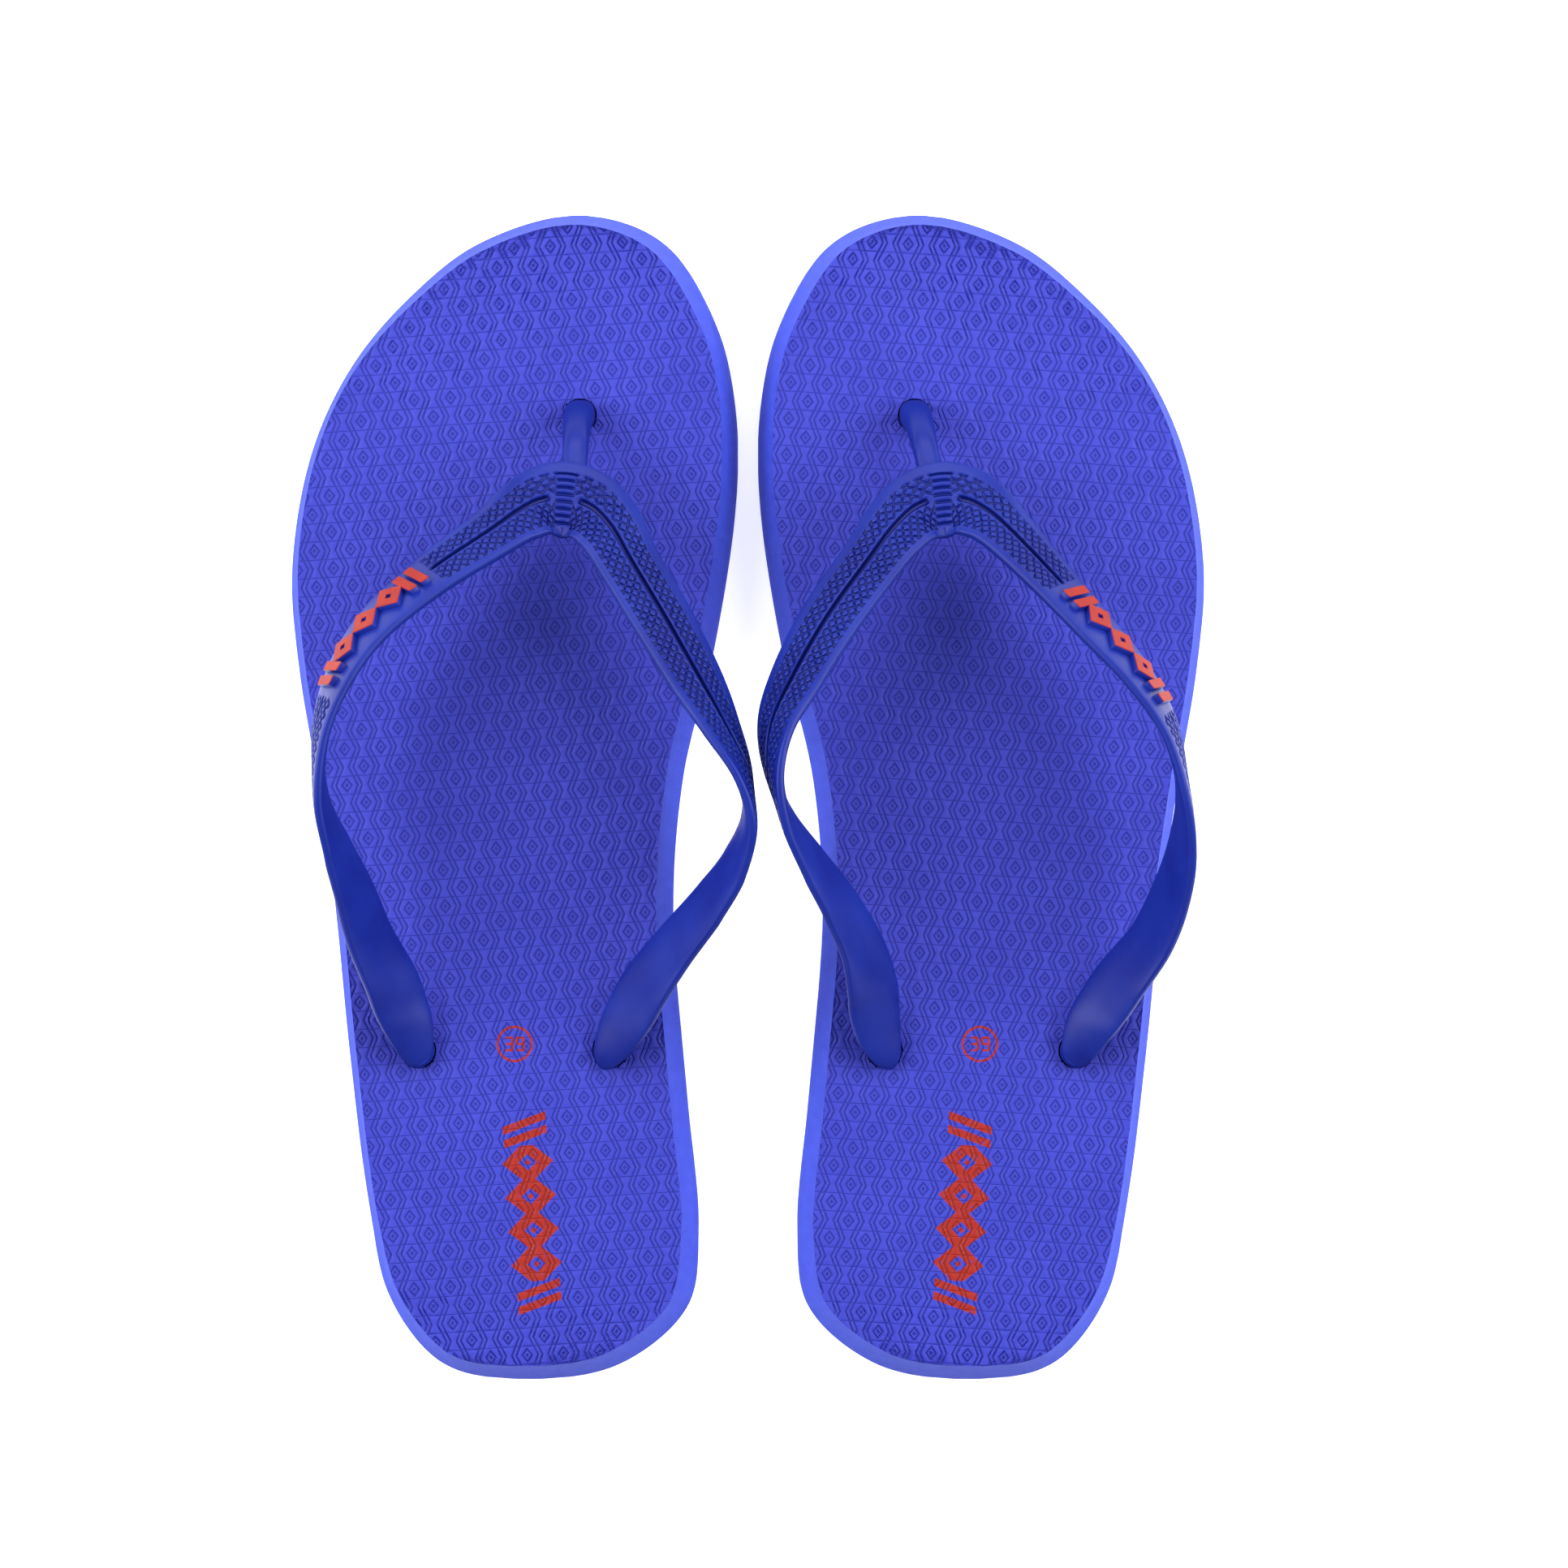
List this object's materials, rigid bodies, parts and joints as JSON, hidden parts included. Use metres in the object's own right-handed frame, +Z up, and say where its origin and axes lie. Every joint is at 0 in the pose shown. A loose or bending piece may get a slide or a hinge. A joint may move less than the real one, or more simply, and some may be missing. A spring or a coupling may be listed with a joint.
{
  "type": "flip flops",
  "caption": "Pair of thong flip flops: flared soles with embossed footbeds, one-piece moulded V straps with toe posts, raised strap badges.",
  "frame": {"origin": "on the floor, midway between the two flip flops and halfway along them", "axes": "+Y along the soles towards the toes, +X towards the right flip flop, +Z up"},
  "size_m": [0.2078, 0.265, 0.0562],
  "materials": {
    "outsole": "satin royal blue foamed rubber, slightly lighter on the cut wall",
    "footbed": "satin royal blue foamed rubber with an embossed repeat pattern and a red print at the heel",
    "strap": "semi-gloss navy blue moulded PVC with knurled fields, a centre groove and smooth borders",
    "badge": "semi-gloss red raised moulding"
  },
  "bodies": {
    "left_flip_flop": {"left_outsole": "outsole", "left_footbed": "footbed", "left_strap": "strap", "left_strap_badge": "badge"},
    "right_flip_flop": {"right_outsole": "outsole", "right_footbed": "footbed", "right_strap": "strap", "right_strap_badge": "badge"}
  },
  "joints": [
    {"name": "right_flip_flop_lift", "type": "slide", "parent": "left_flip_flop", "child": "right_flip_flop", "axis": [0, 0, 1], "range_m": [0, 0.15]}
  ]
}
